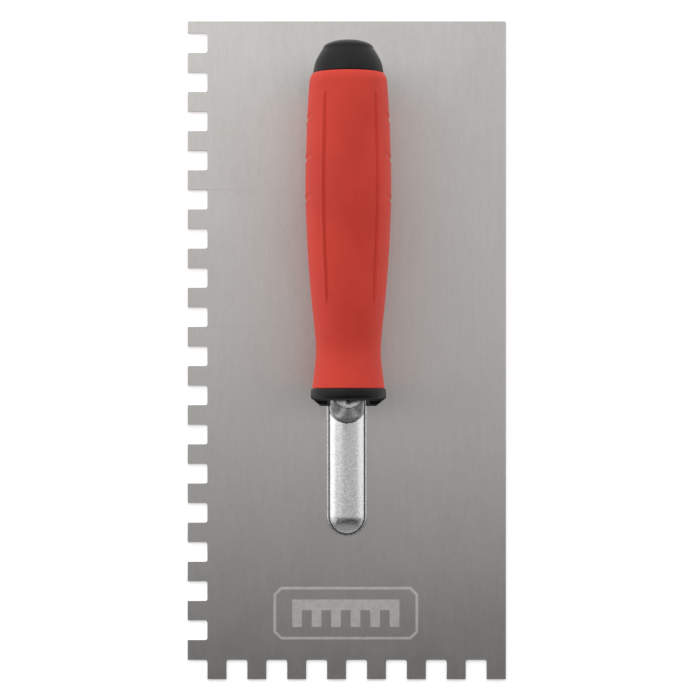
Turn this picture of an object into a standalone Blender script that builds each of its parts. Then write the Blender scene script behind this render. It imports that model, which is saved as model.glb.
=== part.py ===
"""Notched trowel: stainless toothed blade, cast aluminium mounting, two-component handle.

Frame: origin at the centre of the blade's working face (underside), +Z up out of the
working face, +Y along the blade towards the butt of the handle, +X towards the plain
long edge. Metres throughout.

The blade is riveted to the rib of the mounting. The mounting's post rises and turns back
into a tang; the handle slides onto the tang from behind and a screw at the butt, hidden
by a snap-in cap, holds it there.
"""
import math

import bmesh
import bpy
from mathutils import Matrix, Vector

# ----------------------------------------------------------------- driving dimensions
GAP = 0.0003                      # clearance kept between touching pieces

# blade
BLADE_LENGTH = 0.2700
BLADE_WIDTH = 0.1306
BLADE_THICKNESS = 0.0008
NOTCH_DEPTH_SIDE = 0.0081         # notches in the long edge
NOTCH_WIDTH_SIDE = 0.0080
NOTCH_PITCH_SIDE = 0.01606
NOTCH_FIRST_SIDE = 0.12607        # centre of the notch nearest the butt, along Y
NOTCH_COUNT_SIDE = 16
NOTCH_DEPTH_END = 0.00794         # notches in the short edge
NOTCH_WIDTH_END = 0.0085
NOTCH_PITCH_END = 0.01636
NOTCH_FIRST_END = -0.04507        # centre of the notch nearest the toothed corner, along X
NOTCH_COUNT_END = 7
NOTCH_ROOT_RADIUS = 0.0009
ROOT_ARC_STEPS = 3

# rib of the mounting
FLANGE_WIDTH = 0.0162
FLANGE_HALF_LENGTH = 0.0760
FLANGE_THICKNESS = 0.0012
CROWN_RADIUS = 0.0070               # half width of the crown
CROWN_HEIGHT = 0.0046               # above the lip: the section is half an ellipse
CROWN_HALF_LENGTH = 0.0750

# post of the mounting: an oblique, slightly tapered round column
POST_BASE_Z = 0.0020
POST_BASE_Y = -0.0228
POST_BASE_RADIUS = 0.0068
POST_TOP_Z = 0.0595
POST_TOP_Y = -0.0161
POST_TOP_RADIUS = 0.0062
POST_EDGE = 0.0004
POST_HEAD_DROP = 0.0005             # the head is square to the leaning post, so it tips towards the butt

# tang, on the handle's axis
TANG_START = -0.0165
TANG_END = 0.0880
TANG_RADIUS_FRONT = 0.0044
TANG_RADIUS_BACK = 0.0039
TANG_HOLE_DEPTH = 0.0125

# rivets between blade and rib
RIVET_COUNT = 6
RIVET_PITCH = 0.0252
RIVET_HEAD_RADIUS = 0.0029
RIVET_NECK_RADIUS = 0.0021
RIVET_SHANK_RADIUS = 0.0017
RIVET_TIP_Z = 0.0056

# handle datum: the handle's axis crosses the plane Y = 0 at this height and falls
# towards the butt by this angle
HANDLE_AXIS_Z = 0.0541
HANDLE_FALL = math.radians(1.2)

# outer shape of the handle: (distance along the axis, radius)
BUTT_TIP = 0.1214
BUTT_SEAM = 0.1082
GRIP_FRONT = -0.0149
GRIP_STATIONS = (
    (-0.0149, 0.01418),           # front seam, flaring into the collar
    (-0.0115, 0.01372),
    (-0.0050, 0.01292),
    (0.0012, 0.01266),            # waist behind the collar
    (0.0100, 0.01342),
    (0.0225, 0.01468),
    (0.0400, 0.01598),
    (0.0610, 0.01676),            # belly
    (0.0800, 0.01646),
    (0.0950, 0.01586),
    (0.1030, 0.01538),            # shoulder at the butt
)
GRIP_SHOULDER = ((0.1050, 0.01522), (0.1064, 0.01492), (0.1075, 0.01444), (0.1082, 0.01390))
GRIP_WALL = 0.0025

COLLAR_BACK = -0.0152
COLLAR_BAND_RADIUS = 0.01476
COLLAR_BAND_FRONT = -0.0191
NOSE_FRONT = -0.0218
NOSE_RADIUS = 0.0108
NOSE_POCKET_RIM = 0.00075          # front wall left in front of each pocket
NOSE_POCKET_FLOOR = 0.0030         # above the handle's axis; the pockets open upward
NOSE_POCKET_REACH = 0.0126

# butt of the core, its screw seat and the cap
CORE_WEB_BACK = 0.0950
SEAT_RADIUS = 0.0066
SEAT_BACK = 0.0985
CAP_BORE_RADIUS = 0.0103
CAP_SPIGOT_RADIUS = 0.0100
CAP_SPIGOT_INNER = 0.0080
CAP_SPIGOT_START = 0.0990
CAP_BEAD_AT = 0.1015
CAP_BEAD_RADIUS = 0.01025
CAP_GROOVE_RADIUS = 0.01060
CAP_RADIUS = 0.0138                # at the seam
CAP_CROWN_RADIUS = 0.0099          # where the skirt meets the flattened dome
CAP_CROWN_AT = 0.1180
CAP_SKIRT_BULGE = 0.00085

# retaining screw and its washers
SCREW_RADIUS = 0.0025
SCREW_CLEARANCE_RADIUS = 0.0028
SCREW_TIP = 0.0780
SCREW_HEAD_RADIUS = 0.0045
SCREW_HEAD_HEIGHT = 0.0032
SCREW_SOCKET_RADIUS = 0.0020
SCREW_SOCKET_DEPTH = 0.0018
FLAT_WASHER_RADIUS = 0.0060
FLAT_WASHER_THICKNESS = 0.0010
LOCK_WASHER_RADIUS = 0.0046
LOCK_WASHER_THICKNESS = 0.0012
LOCK_WASHER_SPLIT = 0.0009

# ----------------------------------------------------------------- scene set-up
for old in list(bpy.data.objects):
    bpy.data.objects.remove(old, do_unlink=True)

PARTS = bpy.data.collections.new("notched_trowel")
CUTTERS = bpy.data.collections.new("cutters")
bpy.context.scene.collection.children.link(PARTS)
bpy.context.scene.collection.children.link(CUTTERS)


def material(name, colour, roughness, metallic):
    mat = bpy.data.materials.new(name)
    mat.use_nodes = True
    bsdf = mat.node_tree.nodes["Principled BSDF"]
    bsdf.inputs["Base Color"].default_value = (*colour, 1.0)
    bsdf.inputs["Roughness"].default_value = roughness
    bsdf.inputs["Metallic"].default_value = metallic
    return mat


STAINLESS = material("stainless_sheet", (0.55, 0.54, 0.52), 0.34, 1.0)
CASTING = material("tumbled_aluminium", (0.80, 0.80, 0.80), 0.26, 1.0)
RIVET_METAL = material("aluminium_rivet", (0.72, 0.72, 0.73), 0.35, 1.0)
CORE_PLASTIC = material("black_polypropylene", (0.018, 0.018, 0.020), 0.42, 0.0)
GRIP_RUBBER = material("red_rubber", (0.55, 0.065, 0.045), 0.50, 0.0)
CAP_PLASTIC = material("black_cap_plastic", (0.020, 0.020, 0.022), 0.40, 0.0)
ZINC = material("zinc_plated_steel", (0.62, 0.63, 0.65), 0.32, 1.0)
SPRING_STEEL = material("spring_steel", (0.42, 0.43, 0.45), 0.38, 1.0)


def add_object(name, mesh, collection, mat=None, parent=None):
    obj = bpy.data.objects.new(name, mesh)
    collection.objects.link(obj)
    if mat is not None:
        mesh.materials.clear()
        mesh.materials.append(mat)
    if parent is not None:
        obj.parent = parent
    if collection is CUTTERS:
        obj.hide_render = True
        obj.display_type = 'WIRE'
    return obj


def smooth(obj, angle=35.0):
    obj.data.shade_smooth()
    obj.data.set_sharp_from_angle(angle=math.radians(angle))


def bmesh_object(name, bm, collection, mat=None, parent=None):
    mesh = bpy.data.meshes.new(name)
    bmesh.ops.recalc_face_normals(bm, faces=bm.faces)
    bm.to_mesh(mesh)
    bm.free()
    return add_object(name, mesh, collection, mat, parent)


def turned(name, profile, closed, collection, mat=None, parent=None, steps=40):
    """A solid of revolution about the object's Z.

    The profile is (radius, height) pairs in the XZ plane at +X, from the top down its
    outer side; a closed profile comes back up its inner side and makes a ring.
    """
    mesh = bpy.data.meshes.new(name)
    verts = [(r, 0.0, z) for r, z in profile]
    edges = [(i, i + 1) for i in range(len(verts) - 1)]
    if closed:
        edges.append((len(verts) - 1, 0))
    mesh.from_pydata(verts, edges, [])
    obj = add_object(name, mesh, collection, mat, parent)
    screw = obj.modifiers.new("turn", 'SCREW')
    screw.axis = 'Z'
    screw.angle = 2.0 * math.pi
    screw.steps = steps
    screw.render_steps = steps
    screw.use_merge_vertices = True
    screw.merge_threshold = 0.00001
    screw.use_smooth_shade = True
    return obj


def boolean(obj, cutter, operation='DIFFERENCE'):
    mod = obj.modifiers.new(operation.lower() + "_" + cutter.name, 'BOOLEAN')
    mod.operation = operation
    mod.solver = 'EXACT'
    mod.object = cutter
    return mod


def box(name, low, high, collection=CUTTERS, mat=None, parent=None):
    bm = bmesh.new()
    bmesh.ops.create_cube(bm, size=1.0)
    size = [h - l for l, h in zip(low, high)]
    mid = [(h + l) / 2.0 for l, h in zip(low, high)]
    for v in bm.verts:
        v.co = Vector([v.co[i] * size[i] + mid[i] for i in range(3)])
    return bmesh_object(name, bm, collection, mat, parent)


def cylinder(name, radius_low, radius_high, z_low, z_high, segments, xy=(0.0, 0.0),
             collection=CUTTERS, mat=None, parent=None):
    bm = bmesh.new()
    bmesh.ops.create_cone(bm, cap_ends=True, cap_tris=False, segments=segments,
                          radius1=radius_low, radius2=radius_high, depth=z_high - z_low,
                          matrix=Matrix.Translation((xy[0], xy[1], (z_low + z_high) / 2.0)))
    return bmesh_object(name, bm, collection, mat, parent)


def flat_solid(name, outline, z_low, z_high, collection, mat=None):
    """A flat outline with thickness: a filled 2D curve, made a mesh so it can be cut."""
    curve = bpy.data.curves.new(name + "_outline", 'CURVE')
    curve.dimensions = '2D'
    curve.fill_mode = 'BOTH'
    curve.extrude = (z_high - z_low) / 2.0
    spline = curve.splines.new('POLY')
    spline.points.add(len(outline) - 1)
    for point, (x, y) in zip(spline.points, outline):
        point.co = (x, y, 0.0, 1.0)
    spline.use_cyclic_u = True
    source = bpy.data.objects.new(name + "_outline", curve)
    collection.objects.link(source)
    source.location = (0.0, 0.0, (z_low + z_high) / 2.0)
    bpy.context.view_layer.update()
    evaluated = source.evaluated_get(bpy.context.evaluated_depsgraph_get())
    mesh = bpy.data.meshes.new_from_object(evaluated)
    bm = bmesh.new()
    bm.from_mesh(mesh)
    bmesh.ops.remove_doubles(bm, verts=bm.verts, dist=0.000001)
    # the triangles of each flat side become one face, bounded by the outline
    half = (z_high - z_low) / 2.0
    flats = [f for f in bm.faces
             if all(v.co.z > half * 0.5 for v in f.verts) or all(v.co.z < -half * 0.5 for v in f.verts)]
    bmesh.ops.delete(bm, geom=flats, context='FACES')
    rims = [e for e in bm.edges if len(e.link_faces) == 1]
    bmesh.ops.edgeloop_fill(bm, edges=rims)
    bmesh.ops.recalc_face_normals(bm, faces=bm.faces)
    bm.to_mesh(mesh)
    bm.free()
    obj = add_object(name, mesh, collection, mat)
    obj.matrix_world = source.matrix_world.copy()
    bpy.data.objects.remove(source, do_unlink=True)
    bpy.data.curves.remove(curve)
    return obj


# ----------------------------------------------------------------- shape rules
def root_arc(cx, cy, start, sweep):
    """Points of one rounded notch corner, about its own centre."""
    points = []
    for i in range(ROOT_ARC_STEPS + 1):
        a = start + sweep * i / ROOT_ARC_STEPS
        points.append((cx + NOTCH_ROOT_RADIUS * math.cos(a), cy + NOTCH_ROOT_RADIUS * math.sin(a)))
    return points


def side_notch_centres():
    return [NOTCH_FIRST_SIDE - NOTCH_PITCH_SIDE * k for k in range(NOTCH_COUNT_SIDE)]


def end_notch_centres():
    return [NOTCH_FIRST_END + NOTCH_PITCH_END * k for k in range(NOTCH_COUNT_END)]


def blade_outline():
    """Counter-clockwise from the plain corner at the toe: up the plain long edge, across
    the plain short edge, down the notched long edge, round the cut-out corner and along
    the notched short edge."""
    hx, hy, rr = BLADE_WIDTH / 2.0, BLADE_LENGTH / 2.0, NOTCH_ROOT_RADIUS
    half = math.pi / 2.0
    points = [(hx, -hy), (hx, hy), (-hx, hy)]
    root = -hx + NOTCH_DEPTH_SIDE
    for y in side_notch_centres():
        top, low = y + NOTCH_WIDTH_SIDE / 2.0, y - NOTCH_WIDTH_SIDE / 2.0
        points.append((-hx, top))
        points += root_arc(root - rr, top - rr, half, -half)
        points += root_arc(root - rr, low + rr, 0.0, -half)
        points.append((-hx, low))
    # the cut-out corner: one square of tooth size missing
    corner_y = -hy + NOTCH_DEPTH_END
    corner_x = NOTCH_FIRST_END - NOTCH_WIDTH_END / 2.0 - (NOTCH_PITCH_END - NOTCH_WIDTH_END)
    points.append((-hx, corner_y))
    points += root_arc(corner_x - rr, corner_y - rr, half, -half)
    points.append((corner_x, -hy))
    for x in end_notch_centres():
        left, right = x - NOTCH_WIDTH_END / 2.0, x + NOTCH_WIDTH_END / 2.0
        points.append((left, -hy))
        points += root_arc(left + rr, corner_y - rr, math.pi, -half)
        points += root_arc(right - rr, corner_y - rr, half, -half)
        points.append((right, -hy))
    return points


def smooth_curve(stations, steps_each):
    """Points on a smooth curve through the stations (Catmull-Rom in both coordinates)."""
    pts = [stations[0]] + list(stations) + [stations[-1]]
    out = []
    for i in range(1, len(pts) - 2):
        p0, p1, p2, p3 = pts[i - 1], pts[i], pts[i + 1], pts[i + 2]
        for s in range(steps_each):
            t = s / steps_each
            row = []
            for k in range(2):
                row.append(0.5 * (2 * p1[k] + (p2[k] - p0[k]) * t
                                  + (2 * p0[k] - 5 * p1[k] + 4 * p2[k] - p3[k]) * t * t
                                  + (3 * p1[k] - p0[k] - 3 * p2[k] + p3[k]) * t ** 3))
            out.append(tuple(row))
    out.append(tuple(stations[-1]))
    return out


def radius_at(curve, a):
    for (a0, r0), (a1, r1) in zip(curve, curve[1:]):
        if a0 <= a <= a1:
            return r0 + (r1 - r0) * (a - a0) / (a1 - a0)
    return curve[0][1] if a < curve[0][0] else curve[-1][1]


def rivet_positions():
    first = -RIVET_PITCH * (RIVET_COUNT - 1) / 2.0
    return [first + RIVET_PITCH * i for i in range(RIVET_COUNT)]


def post_centre_y(z):
    return POST_BASE_Y + (POST_TOP_Y - POST_BASE_Y) * (z - POST_BASE_Z) / (POST_TOP_Z - POST_BASE_Z)


# ----------------------------------------------------------------- blade
blade = flat_solid("blade", blade_outline(), 0.0, BLADE_THICKNESS, PARTS, STAINLESS)
for i, y in enumerate(rivet_positions()):
    over = 0.0002
    countersink = cylinder("countersink_%d" % (i + 1),
                           RIVET_HEAD_RADIUS + GAP + over, RIVET_NECK_RADIUS + GAP - over,
                           -over, BLADE_THICKNESS + over, 24, (0.0, y))
    boolean(blade, countersink)

# ----------------------------------------------------------------- handle datum
bpy.context.view_layer.update()
handle_datum = bpy.data.objects.new("handle_datum", None)
PARTS.objects.link(handle_datum)
handle_datum.location = (0.0, 0.0, HANDLE_AXIS_Z)
handle_datum.rotation_euler = (-(math.pi / 2.0 + HANDLE_FALL), 0.0, 0.0)

# ----------------------------------------------------------------- mounting
RIB_LOW = BLADE_THICKNESS + GAP
RIB_TOP = RIB_LOW + FLANGE_THICKNESS


def crown_profile(steps=7):
    """Half of a long capsule: a domed nose at each end of a straight barrel."""
    straight = CROWN_HALF_LENGTH - CROWN_RADIUS
    points = []
    for i in range(steps + 1):
        a = math.pi / 2.0 * i / steps
        points.append((CROWN_RADIUS * math.sin(a), straight + CROWN_RADIUS * math.cos(a)))
    for i in range(steps + 1):
        a = math.pi / 2.0 * i / steps
        points.append((CROWN_RADIUS * math.cos(a), -straight - CROWN_RADIUS * math.sin(a)))
    return [(0.0 if abs(r) < 1e-9 else r, z) for r, z in points]


def stadium(half_width, half_length, steps=12):
    straight = half_length - half_width
    points = []
    for i in range(steps + 1):
        a = math.pi * i / steps
        points.append((half_width * math.cos(a), straight + half_width * math.sin(a)))
    for i in range(steps + 1):
        a = math.pi + math.pi * i / steps
        points.append((half_width * math.cos(a), -straight + half_width * math.sin(a)))
    return points


mounting = turned("mounting", crown_profile(), False, PARTS, CASTING, steps=40)
for v in mounting.data.vertices:
    v.co.y *= CROWN_HEIGHT / CROWN_RADIUS
mounting.location = (0.0, 0.0, RIB_TOP)
mounting.rotation_euler = (-math.pi / 2.0, 0.0, 0.0)

under_rib = box("under_rib", (-0.02, -0.09, -0.02), (0.02, 0.09, RIB_LOW + FLANGE_THICKNESS / 2.0))
flange = flat_solid("flange", stadium(FLANGE_WIDTH / 2.0, FLANGE_HALF_LENGTH), RIB_LOW, RIB_TOP, CUTTERS)
flange_edge = flange.modifiers.new("lip", 'BEVEL')
flange_edge.width = 0.00035
flange_edge.segments = 1
flange_edge.limit_method = 'ANGLE'
flange_edge.angle_limit = math.radians(60.0)

post_bm = bmesh.new()
bmesh.ops.create_cone(post_bm, cap_ends=True, cap_tris=False, segments=40,
                      radius1=POST_BASE_RADIUS, radius2=POST_TOP_RADIUS,
                      depth=POST_TOP_Z - POST_BASE_Z,
                      matrix=Matrix.Translation((0.0, 0.0, (POST_TOP_Z + POST_BASE_Z) / 2.0)))
rim = [e for e in post_bm.edges if all(v.co.z > POST_TOP_Z - 1e-6 for v in e.verts)]
bmesh.ops.bevel(post_bm, geom=rim, offset=POST_EDGE, segments=2, profile=0.5, affect='EDGES')
for v in post_bm.verts:
    level = v.co.z
    if level > POST_TOP_Z - POST_EDGE - 1e-6:
        v.co.z -= POST_HEAD_DROP + v.co.y * (POST_TOP_Y - POST_BASE_Y) / (POST_TOP_Z - POST_BASE_Z)
    v.co.y += post_centre_y(level)
post = bmesh_object("post", post_bm, CUTTERS)


def tang_radius(a):
    return TANG_RADIUS_FRONT + (TANG_RADIUS_BACK - TANG_RADIUS_FRONT) * (a - TANG_START) / (TANG_END - TANG_START)


tang = turned("tang", [(0.0, TANG_END), (TANG_RADIUS_BACK - 0.0005, TANG_END),
                       (TANG_RADIUS_BACK, TANG_END - 0.0005),
                       (TANG_RADIUS_FRONT, TANG_START), (0.0, TANG_START)],
              False, CUTTERS, None, handle_datum, steps=32)
tang_hole = cylinder("tang_hole", SCREW_CLEARANCE_RADIUS, SCREW_CLEARANCE_RADIUS,
                     TANG_END - TANG_HOLE_DEPTH, TANG_END + 0.002, 24, parent=handle_datum)

boolean(mounting, under_rib)
boolean(mounting, flange, 'UNION')
boolean(mounting, post, 'UNION')
boolean(mounting, tang, 'UNION')
boolean(mounting, tang_hole)
for i, y in enumerate(rivet_positions()):
    boolean(mounting, cylinder("rivet_hole_%d" % (i + 1), RIVET_SHANK_RADIUS + GAP, RIVET_SHANK_RADIUS + GAP,
                               -0.001, RIVET_TIP_Z + GAP, 20, (0.0, y)))

# ----------------------------------------------------------------- rivets
rivet_profile = [(0.0, RIVET_TIP_Z), (RIVET_SHANK_RADIUS - 0.0004, RIVET_TIP_Z),
                 (RIVET_SHANK_RADIUS, RIVET_TIP_Z - 0.0005),
                 (RIVET_SHANK_RADIUS, BLADE_THICKNESS + 0.0001),
                 (RIVET_NECK_RADIUS, BLADE_THICKNESS),
                 (RIVET_HEAD_RADIUS, 0.0), (0.0, 0.0)]
for i, y in enumerate(rivet_positions()):
    rivet = turned("rivet_%d" % (i + 1), rivet_profile, False, PARTS, RIVET_METAL, steps=20)
    rivet.location = (0.0, y, 0.0)

# ----------------------------------------------------------------- handle: grip sleeve
outer = smooth_curve(GRIP_STATIONS, 2) + list(GRIP_SHOULDER)
front_radius = outer[0][1]
sleeve_outer = [(r, a) for a, r in reversed(outer)]
core_under = [(a, r - GRIP_WALL - GAP) for a, r in GRIP_STATIONS]
# the bore of the sleeve follows its outside at an even wall
sleeve_bore = [(r - GRIP_WALL, a) for a, r in GRIP_STATIONS]
sleeve_bore.append((sleeve_bore[-1][0], BUTT_SEAM))
grip_sleeve = turned("grip_sleeve", sleeve_outer + sleeve_bore, True, PARTS, GRIP_RUBBER, handle_datum, steps=36)

# transverse finger grooves: part rings round the flanks and the underside, leaning so
# that their upper ends point to the butt, and fading out of the surface at both ends
GROOVE_PITCH = 0.0158
GROOVE_FIRST = 0.0583
GROOVE_COUNT = 3
GROOVE_LEAN = math.radians(12.0)
GROOVE_DEPTH = 0.0008
GROOVE_TUBE = 0.0016
GROOVE_HALF_SWEEP = math.radians(112.0)


def finger_groove(name, a, ring=20, tube=6):
    bm = bmesh.new()
    rows = []
    for j in range(ring + 1):
        s = -1.0 + 2.0 * j / ring
        u = math.pi / 2.0 + GROOVE_HALF_SWEEP * s      # the datum's local +Y points down
        lift = GROOVE_TUBE + 0.0002 if j in (0, ring) else GROOVE_TUBE - GROOVE_DEPTH * math.sqrt(1.0 - s * s)
        at = a - radius_at(outer, a) * math.tan(GROOVE_LEAN) * math.sin(u)
        centre = radius_at(outer, at) + lift
        row = []
        for k in range(tube):
            w = 2.0 * math.pi * k / tube
            rr = centre + GROOVE_TUBE * math.cos(w)
            row.append(bm.verts.new((rr * math.cos(u), rr * math.sin(u), at + GROOVE_TUBE * math.sin(w))))
        rows.append(row)
    for j in range(ring):
        for k in range(tube):
            n = (k + 1) % tube
            bm.faces.new((rows[j][k], rows[j + 1][k], rows[j + 1][n], rows[j][n]))
    bm.faces.new(rows[0])
    bm.faces.new(rows[-1])
    return bmesh_object(name, bm, CUTTERS, None, handle_datum)


for i in range(GROOVE_COUNT):
    boolean(grip_sleeve, finger_groove("finger_groove_%d" % (i + 1), GROOVE_FIRST + GROOVE_PITCH * i))

# ----------------------------------------------------------------- handle: core with collar
core_outer = [(r, a) for a, r in core_under]
core_profile = [(core_outer[-1][0], BUTT_SEAM)]
core_profile += list(reversed(core_outer))
core_profile[-1] = (core_outer[0][0], COLLAR_BACK)
core_profile += [(front_radius + 0.0001, COLLAR_BACK),
                 (COLLAR_BAND_RADIUS - 0.00012, COLLAR_BACK - 0.0012),
                 (COLLAR_BAND_RADIUS, COLLAR_BACK - 0.0024),
                 (COLLAR_BAND_RADIUS - 0.0003, COLLAR_BAND_FRONT + 0.0006),
                 (COLLAR_BAND_RADIUS - 0.0010, COLLAR_BAND_FRONT),
                 (NOSE_RADIUS, NOSE_FRONT),
                 (TANG_RADIUS_FRONT + GAP, NOSE_FRONT),
                 (TANG_RADIUS_FRONT + GAP, TANG_START),
                 (TANG_RADIUS_BACK + GAP, TANG_END + GAP),
                 (SCREW_CLEARANCE_RADIUS, TANG_END + GAP),
                 (SCREW_CLEARANCE_RADIUS, CORE_WEB_BACK),
                 (SEAT_RADIUS, CORE_WEB_BACK),
                 (SEAT_RADIUS, SEAT_BACK),
                 (CAP_BORE_RADIUS, SEAT_BACK),
                 (CAP_BORE_RADIUS, CAP_BEAD_AT - 0.0008),
                 (CAP_GROOVE_RADIUS, CAP_BEAD_AT - 0.0005),
                 (CAP_GROOVE_RADIUS, CAP_BEAD_AT + 0.0005),
                 (CAP_BORE_RADIUS, CAP_BEAD_AT + 0.0008),
                 (CAP_BORE_RADIUS, BUTT_SEAM)]
handle_core = turned("handle_core", core_profile, True, PARTS, CORE_PLASTIC, handle_datum, steps=36)

# seat for the head of the post: a leaning stadium, open to the front and below; the
# rubber stands back from it by a small margin
SEAT_R = POST_TOP_RADIUS + 0.0008
SEAT_MARGIN = 0.0014
seat_low, seat_high = 0.030, POST_TOP_Z + GAP


def leaning_slot(name, radius, low, high):
    bm = bmesh.new()
    bmesh.ops.create_cone(bm, cap_ends=True, cap_tris=False, segments=40, radius1=radius, radius2=radius,
                          depth=high - low, matrix=Matrix.Translation((0.0, 0.0, (low + high) / 2.0)))
    for v in bm.verts:
        if v.co.y < -1e-6:
            v.co.y -= 0.015
        v.co.y += post_centre_y(v.co.z)
    return bmesh_object(name, bm, CUTTERS)


post_seat = leaning_slot("post_seat", SEAT_R, seat_low, seat_high)
boolean(grip_sleeve, leaning_slot("rubber_relief", SEAT_R + SEAT_MARGIN, seat_low, HANDLE_AXIS_Z - 0.004))
nose_mouth = box("nose_mouth", (-SEAT_R, -0.040, 0.052), (SEAT_R, COLLAR_BAND_FRONT - 0.0004, 0.080))
boolean(handle_core, post_seat)
boolean(handle_core, nose_mouth)
for side, name in ((1.0, "pocket_plain_side"), (-1.0, "pocket_notched_side")):
    xs = sorted((side * (SEAT_R + 0.0012), side * NOSE_POCKET_REACH))
    boolean(handle_core, box(name, (xs[0], NOSE_FRONT + NOSE_POCKET_RIM, HANDLE_AXIS_Z + NOSE_POCKET_FLOOR),
                             (xs[1], COLLAR_BAND_FRONT - 0.0005, HANDLE_AXIS_Z + 0.0200)))

# ----------------------------------------------------------------- handle: end cap
CAP_SEAM = BUTT_SEAM + GAP


def cap_dome(steps=7):
    """Outer side of the cap from the tip down: a flattened dome on a tapered skirt."""
    points = []
    for i in range(steps + 1):
        u = math.pi / 2.0 * (1.0 - i / steps)
        points.append((CAP_CROWN_RADIUS * math.cos(u) if i else 0.0,
                       CAP_CROWN_AT + (BUTT_TIP - CAP_CROWN_AT) * math.sin(u)))
    for i in range(1, 7):
        t = i / 6.0
        points.append((CAP_CROWN_RADIUS + (CAP_RADIUS - CAP_CROWN_RADIUS) * t + CAP_SKIRT_BULGE * math.sin(math.pi * t),
                       CAP_CROWN_AT + (CAP_SEAM - CAP_CROWN_AT) * t))
    return points


cap_profile = cap_dome() + [(CAP_SPIGOT_RADIUS, CAP_SEAM),
                            (CAP_SPIGOT_RADIUS, CAP_BEAD_AT + 0.0006),
                            (CAP_BEAD_RADIUS, CAP_BEAD_AT),
                            (CAP_SPIGOT_RADIUS, CAP_BEAD_AT - 0.0006),
                            (CAP_SPIGOT_RADIUS, CAP_SPIGOT_START),
                            (CAP_SPIGOT_INNER, CAP_SPIGOT_START),
                            (CAP_SPIGOT_INNER, CAP_SEAM + 0.003),
                            (CAP_SPIGOT_INNER - 0.0025, CAP_SEAM + 0.0065),
                            (0.0, CAP_SEAM + 0.0075)]
end_cap = turned("end_cap", cap_profile, False, PARTS, CAP_PLASTIC, handle_datum, steps=36)

# ----------------------------------------------------------------- retaining screw and washers
washer_low = CORE_WEB_BACK + GAP
washer_high = washer_low + FLAT_WASHER_THICKNESS
lock_low = washer_high + GAP
lock_high = lock_low + LOCK_WASHER_THICKNESS
head_low = lock_high + GAP
head_high = head_low + SCREW_HEAD_HEIGHT

flat_washer = turned("flat_washer", [(FLAT_WASHER_RADIUS, washer_high), (FLAT_WASHER_RADIUS, washer_low),
                                     (SCREW_CLEARANCE_RADIUS, washer_low), (SCREW_CLEARANCE_RADIUS, washer_high)],
                     True, PARTS, ZINC, handle_datum, steps=32)
lock_washer = turned("lock_washer", [(LOCK_WASHER_RADIUS, lock_high), (LOCK_WASHER_RADIUS, lock_low),
                                     (SCREW_CLEARANCE_RADIUS, lock_low), (SCREW_CLEARANCE_RADIUS, lock_high)],
                     True, PARTS, SPRING_STEEL, handle_datum, steps=32)
split = box("lock_washer_split", (0.0, -LOCK_WASHER_SPLIT / 2.0, lock_low - 0.001),
            (0.010, LOCK_WASHER_SPLIT / 2.0, lock_high + 0.001), parent=handle_datum)
boolean(lock_washer, split)
retaining_screw = turned("retaining_screw", [(0.0, head_high), (SCREW_HEAD_RADIUS * 0.72, head_high),
                                             (SCREW_HEAD_RADIUS * 0.93, head_high - 0.0007),
                                             (SCREW_HEAD_RADIUS, head_high - 0.0017),
                                             (SCREW_HEAD_RADIUS, head_low), (SCREW_RADIUS, head_low),
                                             (SCREW_RADIUS, SCREW_TIP + 0.0008), (SCREW_RADIUS - 0.0008, SCREW_TIP),
                                             (0.0, SCREW_TIP)],
                         False, PARTS, ZINC, handle_datum, steps=28)
socket = cylinder("screw_socket", SCREW_SOCKET_RADIUS, SCREW_SOCKET_RADIUS,
                  head_high - SCREW_SOCKET_DEPTH, head_high + 0.001, 6, parent=handle_datum)
boolean(retaining_screw, socket)

bpy.context.view_layer.update()
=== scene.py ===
"""Looks for the notched trowel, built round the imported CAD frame. Metres, row frame:
origin at the centre of the blade's working face, +Z up, +Y towards the handle's butt."""
import math

import bmesh
import bpy
import numpy as np
from mathutils import Matrix, Vector, noise as mnoise


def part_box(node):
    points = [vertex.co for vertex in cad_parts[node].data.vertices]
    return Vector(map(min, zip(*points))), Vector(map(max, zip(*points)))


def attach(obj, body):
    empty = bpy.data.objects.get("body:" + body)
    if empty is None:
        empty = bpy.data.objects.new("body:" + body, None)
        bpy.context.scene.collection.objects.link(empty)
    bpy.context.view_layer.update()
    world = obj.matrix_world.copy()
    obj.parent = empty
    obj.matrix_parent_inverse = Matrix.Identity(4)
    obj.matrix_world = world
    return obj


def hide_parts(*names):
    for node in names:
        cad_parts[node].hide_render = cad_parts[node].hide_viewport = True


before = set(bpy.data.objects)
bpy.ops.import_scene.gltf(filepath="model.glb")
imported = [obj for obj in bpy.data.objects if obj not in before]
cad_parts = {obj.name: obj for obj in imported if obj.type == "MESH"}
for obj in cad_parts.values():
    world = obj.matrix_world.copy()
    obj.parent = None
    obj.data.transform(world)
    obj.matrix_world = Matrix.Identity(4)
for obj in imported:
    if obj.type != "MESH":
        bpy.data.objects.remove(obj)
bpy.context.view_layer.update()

# ------------------------------------------------------------------ dimensions shared with the CAD
BLADE_LOW, BLADE_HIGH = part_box("blade")
BLADE_LENGTH = 0.2700
BLADE_WIDTH = 0.1306
BLADE_THICKNESS = 0.0008
SIDE_DEPTH, SIDE_WIDTH, SIDE_PITCH, SIDE_FIRST, SIDE_COUNT = 0.0081, 0.0080, 0.01606, 0.12607, 16
END_DEPTH, END_WIDTH, END_PITCH, END_FIRST, END_COUNT = 0.00794, 0.0085, 0.01636, -0.04507, 7
ROOT_RADIUS = 0.0009

FLANGE_WIDTH, FLANGE_HALF, FLANGE_TOP = 0.0162, 0.0760, 0.0023
CROWN_RADIUS, CROWN_HALF, CROWN_HEIGHT = 0.0070, 0.0750, 0.0046
POST_BASE_Z, POST_BASE_Y, POST_BASE_R = 0.0020, -0.0228, 0.0068
POST_TOP_Z, POST_TOP_Y, POST_TOP_R = 0.0595, -0.0161, 0.0062
RIVETS = [-0.0252 * 2.5 + 0.0252 * i for i in range(6)]

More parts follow.
